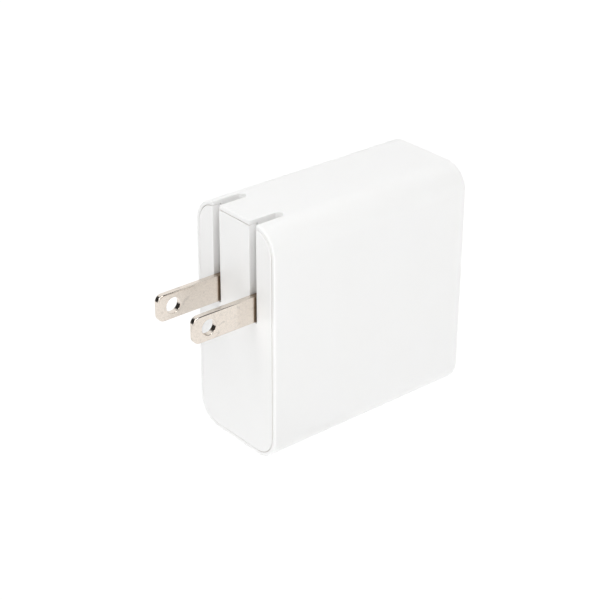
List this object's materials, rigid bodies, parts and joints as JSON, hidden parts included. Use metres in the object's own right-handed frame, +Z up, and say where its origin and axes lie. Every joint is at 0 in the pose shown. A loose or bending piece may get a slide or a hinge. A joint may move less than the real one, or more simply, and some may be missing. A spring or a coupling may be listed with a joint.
{
  "type": "laptop power adapter",
  "caption": "Boxy white wall-plug laptop power adapter with two blades that fold up into slots, and USB sockets in its far end.",
  "frame": {"origin": "centre of the flat narrow side that the adapter stands on, midway between the prong face and the socket face", "axes": "+X from the prong face to the socket face, +Y across the thickness, +Z up from the side it stands on"},
  "size_m": [0.0719, 0.027, 0.0565],
  "materials": {
    "white_shell": "fine satin white moulding",
    "plated_blade": "bright nickel plate",
    "bearing_plastic": "satin white moulding",
    "spring_steel": "bright zinc plate",
    "spring_bronze": "bare phosphor bronze",
    "black_wire": "smooth black insulation",
    "white_wire": "smooth white insulation",
    "black_film": "black insulating film",
    "board_laminate": "green solder mask",
    "fuse_body": "green resin",
    "ferrite": "bare ferrite",
    "copper_wire": "enamelled copper",
    "yellow_film": "yellow polyester",
    "black_resin": "black moulded resin",
    "capacitor_sleeve": "dark blue heat-shrink sleeve",
    "blue_resin": "blue epoxy",
    "can_aluminium": "bright drawn can",
    "inductor_grey": "pressed iron powder",
    "thermal_silicone": "grey-blue thermal silicone",
    "spreader_aluminium": "plain sheet",
    "socket_steel": "nickel plated stamping",
    "socket_black": "black moulding",
    "socket_white": "white moulding",
    "gold_contact": "gold flash"
  },
  "bodies": {
    "housing": {"sleeve_housing": "white_shell", "end_cap": "white_shell", "rotor_retainer": "bearing_plastic", "retainer_screws": "spring_steel", "detent_spring": "spring_steel", "left_contact_spring": "spring_bronze", "right_contact_spring": "spring_bronze", "left_lead_wire": "black_wire", "right_lead_wire": "white_wire", "insulating_sheet": "black_film", "main_board": "board_laminate", "fuse": "fuse_body", "choke_core": "ferrite", "choke_windings": "copper_wire", "mains_capacitor": "yellow_film", "bridge_rectifier": "black_resin", "bulk_capacitors": "capacitor_sleeve", "power_switch": "black_resin", "transformer_core": "ferrite", "transformer_bobbin": "black_resin", "transformer_winding": "copper_wire", "transformer_tape": "yellow_film", "safety_capacitor": "blue_resin", "optocoupler": "black_resin", "rectifier_switch": "black_resin", "charge_controller": "black_resin", "output_capacitors": "can_aluminium", "output_inductors": "inductor_grey", "thermal_pad": "thermal_silicone", "heat_spreader": "spreader_aluminium", "port_board": "board_laminate", "board_link_pins": "gold_contact", "usb_c_shells": "socket_steel", "usb_c_tongues": "socket_black", "usb_c_contacts": "gold_contact", "usb_a_shell": "socket_steel", "usb_a_tongue": "socket_white", "usb_a_contacts": "gold_contact"},
    "folding_plug": {"left_blade": "plated_blade", "right_blade": "plated_blade", "blade_rotor": "bearing_plastic"}
  },
  "joints": [
    {"name": "blade_fold", "type": "hinge", "parent": "housing", "child": "folding_plug", "pos_m": [-0.0244, 0, 0.0364], "axis": [0, 1, 0], "range_deg": [0, 90]}
  ]
}
